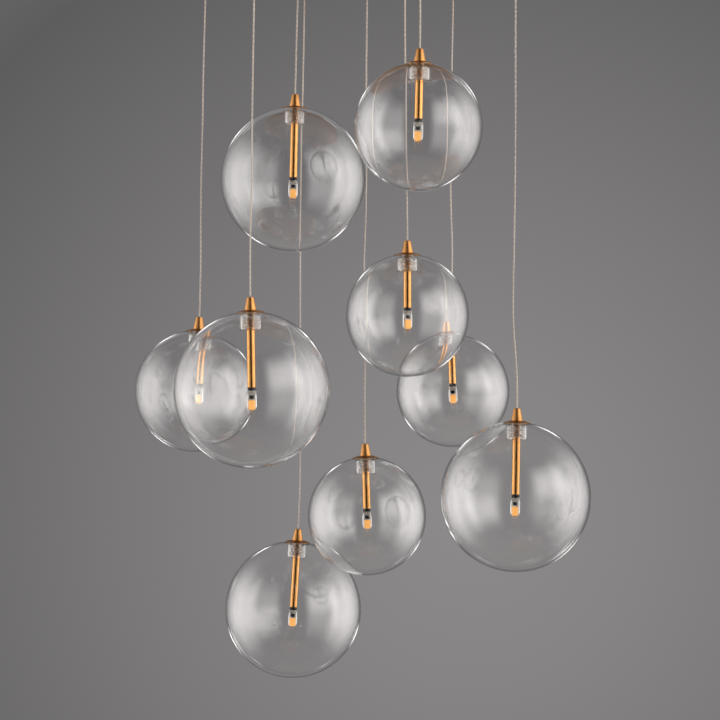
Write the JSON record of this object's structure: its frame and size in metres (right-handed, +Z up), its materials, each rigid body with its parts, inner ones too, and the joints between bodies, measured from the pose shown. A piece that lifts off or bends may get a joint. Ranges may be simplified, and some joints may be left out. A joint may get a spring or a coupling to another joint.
{
  "type": "cluster pendant",
  "caption": "Clear blown-glass globes, each round a small capsule lamp on a brass stem, hung at different heights on thin cords from one round ceiling canopy.",
  "frame": {"origin": "centre of the ceiling bracket's top face, which lies against the ceiling", "axes": "+Z up into the ceiling, +X to the viewer's right, +Y away from the viewer"},
  "size_m": [0.4616, 0.45, 0.8104],
  "materials": {
    "canopy_plate": "satin plated spun steel",
    "zinc_steel": "zinc plated",
    "plated_brass": "brushed, gold plated",
    "driver_case": "moulded",
    "terminal_plastic": "moulded",
    "cord_sheath": "clear sheath over fine wires",
    "clear_plug": "clear moulded",
    "blown_glass": "clear, fire polished",
    "lamp_glass": "clear capsule with an LED board inside"
  },
  "bodies": {
    "canopy": {"canopy_pan": "canopy_plate", "ceiling_bracket": "zinc_steel", "cord_grips": "plated_brass", "canopy_screws": "plated_brass", "led_driver": "driver_case", "terminal_block": "terminal_plastic"},
    "cord_1": {"cord_1": "cord_sheath"},
    "pendant_1": {"cap_1": "plated_brass", "plug_1": "clear_plug", "globe_1": "blown_glass", "stem_1": "plated_brass"},
    "lamp_1": {"lamp_1": "lamp_glass"},
    "cord_2": {"cord_2": "cord_sheath"},
    "pendant_2": {"cap_2": "plated_brass", "plug_2": "clear_plug", "globe_2": "blown_glass", "stem_2": "plated_brass"},
    "lamp_2": {"lamp_2": "lamp_glass"},
    "cord_3": {"cord_3": "cord_sheath"},
    "pendant_3": {"cap_3": "plated_brass", "plug_3": "clear_plug", "globe_3": "blown_glass", "stem_3": "plated_brass"},
    "lamp_3": {"lamp_3": "lamp_glass"},
    "cord_4": {"cord_4": "cord_sheath"},
    "pendant_4": {"cap_4": "plated_brass", "plug_4": "clear_plug", "globe_4": "blown_glass", "stem_4": "plated_brass"},
    "lamp_4": {"lamp_4": "lamp_glass"},
    "cord_5": {"cord_5": "cord_sheath"},
    "pendant_5": {"cap_5": "plated_brass", "plug_5": "clear_plug", "globe_5": "blown_glass", "stem_5": "plated_brass"},
    "lamp_5": {"lamp_5": "lamp_glass"},
    "cord_6": {"cord_6": "cord_sheath"},
    "pendant_6": {"cap_6": "plated_brass", "plug_6": "clear_plug", "globe_6": "blown_glass", "stem_6": "plated_brass"},
    "lamp_6": {"lamp_6": "lamp_glass"},
    "cord_7": {"cord_7": "cord_sheath"},
    "pendant_7": {"cap_7": "plated_brass", "plug_7": "clear_plug", "globe_7": "blown_glass", "stem_7": "plated_brass"},
    "lamp_7": {"lamp_7": "lamp_glass"},
    "cord_8": {"cord_8": "cord_sheath"},
    "pendant_8": {"cap_8": "plated_brass", "plug_8": "clear_plug", "globe_8": "blown_glass", "stem_8": "plated_brass"},
    "lamp_8": {"lamp_8": "lamp_glass"},
    "cord_9": {"cord_9": "cord_sheath"},
    "pendant_9": {"cap_9": "plated_brass", "plug_9": "clear_plug", "globe_9": "blown_glass", "stem_9": "plated_brass"},
    "lamp_9": {"lamp_9": "lamp_glass"}
  },
  "joints": [
    {"name": "swing_1", "type": "hinge", "parent": "canopy", "child": "cord_1", "pos_m": [-0.0615, 0.013, -0.038], "axis": [-0.9397, -0.342, 0], "range_deg": [-10, 10]},
    {"name": "twist_1", "type": "hinge", "parent": "cord_1", "child": "pendant_1", "pos_m": [-0.064, 0.013, -0.1835], "axis": [-0.0157, 0, -0.9999], "range_deg": [-90, 90]},
    {"name": "lamp_pull_1", "type": "slide", "parent": "pendant_1", "child": "lamp_1", "axis": [-0.0157, 0, -0.9999], "range_m": [0, 0.01]},
    {"name": "swing_2", "type": "hinge", "parent": "canopy", "child": "cord_2", "pos_m": [0.06, -0.121, -0.038], "axis": [0.5, -0.866, 0], "range_deg": [-10, 10]},
    {"name": "twist_2", "type": "hinge", "parent": "cord_2", "child": "pendant_2", "pos_m": [0.061, -0.121, -0.154], "axis": [-0.014, 0, -0.9999], "range_deg": [-90, 90]},
    {"name": "lamp_pull_2", "type": "slide", "parent": "pendant_2", "child": "lamp_2", "axis": [-0.014, 0, -0.9999], "range_m": [0, 0.01]},
    {"name": "swing_3", "type": "hinge", "parent": "canopy", "child": "cord_3", "pos_m": [0.0476, -0.03, -0.038], "axis": [0.766, -0.6428, 0], "range_deg": [-10, 10]},
    {"name": "twist_3", "type": "hinge", "parent": "cord_3", "child": "pendant_3", "pos_m": [0.0524, -0.03, -0.336], "axis": [0.0087, 0, -1], "range_deg": [-90, 90]},
    {"name": "lamp_pull_3", "type": "slide", "parent": "pendant_3", "child": "lamp_3", "axis": [0.0087, 0, -1], "range_m": [0, 0.01]},
    {"name": "swing_4", "type": "hinge", "parent": "canopy", "child": "cord_4", "pos_m": [0.1053, 0.153, -0.038], "axis": [0.5, 0.866, 0], "range_deg": [-10, 10]},
    {"name": "twist_4", "type": "hinge", "parent": "cord_4", "child": "pendant_4", "pos_m": [0.105, 0.153, -0.4175], "axis": [0.0436, 0, -0.999], "range_deg": [-90, 90]},
    {"name": "lamp_pull_4", "type": "slide", "parent": "pendant_4", "child": "lamp_4", "axis": [0.0436, 0, -0.999], "range_m": [0, 0.01]},
    {"name": "swing_5", "type": "hinge", "parent": "canopy", "child": "cord_5", "pos_m": [-0.098, -0.153, -0.038], "axis": [0, -1, 0], "range_deg": [-10, 10]},
    {"name": "twist_5", "type": "hinge", "parent": "cord_5", "child": "pendant_5", "pos_m": [-0.0997, -0.153, -0.3965], "axis": [0.0209, 0, -0.9998], "range_deg": [-90, 90]},
    {"name": "lamp_pull_5", "type": "slide", "parent": "pendant_5", "child": "lamp_5", "axis": [0.0209, 0, -0.9998], "range_m": [0, 0.01]},
    {"name": "swing_6", "type": "hinge", "parent": "canopy", "child": "cord_6", "pos_m": [-0.1552, -0.01, -0.038], "axis": [-0.6428, 0.766, 0], "range_deg": [-4, 10]},
    {"name": "twist_6", "type": "hinge", "parent": "cord_6", "child": "pendant_6", "pos_m": [-0.1596, -0.01, -0.415], "axis": [-0.0366, 0, -0.9993], "range_deg": [-90, 90]},
    {"name": "lamp_pull_6", "type": "slide", "parent": "pendant_6", "child": "lamp_6", "axis": [-0.0366, 0, -0.9993], "range_m": [0, 0.01]},
    {"name": "swing_7", "type": "hinge", "parent": "canopy", "child": "cord_7", "pos_m": [0.0101, 0.05, -0.038], "axis": [1, 0, 0], "range_deg": [-3, 6]},
    {"name": "twist_7", "type": "hinge", "parent": "cord_7", "child": "pendant_7", "pos_m": [0.0114, 0.05, -0.547], "axis": [0.0332, 0, -0.9995], "range_deg": [-90, 90]},
    {"name": "lamp_pull_7", "type": "slide", "parent": "pendant_7", "child": "lamp_7", "axis": [0.0332, 0, -0.9995], "range_m": [0, 0.01]},
    {"name": "swing_8", "type": "hinge", "parent": "canopy", "child": "cord_8", "pos_m": [0.1576, -0.06, -0.038], "axis": [0.9397, -0.342, 0], "range_deg": [-10, 10]},
    {"name": "twist_8", "type": "hinge", "parent": "cord_8", "child": "pendant_8", "pos_m": [0.1626, -0.06, -0.504], "axis": [-0.0105, 0, -0.9999], "range_deg": [-90, 90]},
    {"name": "lamp_pull_8", "type": "slide", "parent": "pendant_8", "child": "lamp_8", "axis": [-0.0105, 0, -0.9999], "range_m": [0, 0.01]},
    {"name": "swing_9", "type": "hinge", "parent": "canopy", "child": "cord_9", "pos_m": [-0.0588, 0.147, -0.038], "axis": [-0.6428, 0.766, 0], "range_deg": [-10, 10]},
    {"name": "twist_9", "type": "hinge", "parent": "cord_9", "child": "pendant_9", "pos_m": [-0.0615, 0.147, -0.647], "axis": [-0.0523, 0, -0.9986], "range_deg": [-90, 90]},
    {"name": "lamp_pull_9", "type": "slide", "parent": "pendant_9", "child": "lamp_9", "axis": [-0.0523, 0, -0.9986], "range_m": [0, 0.01]}
  ]
}
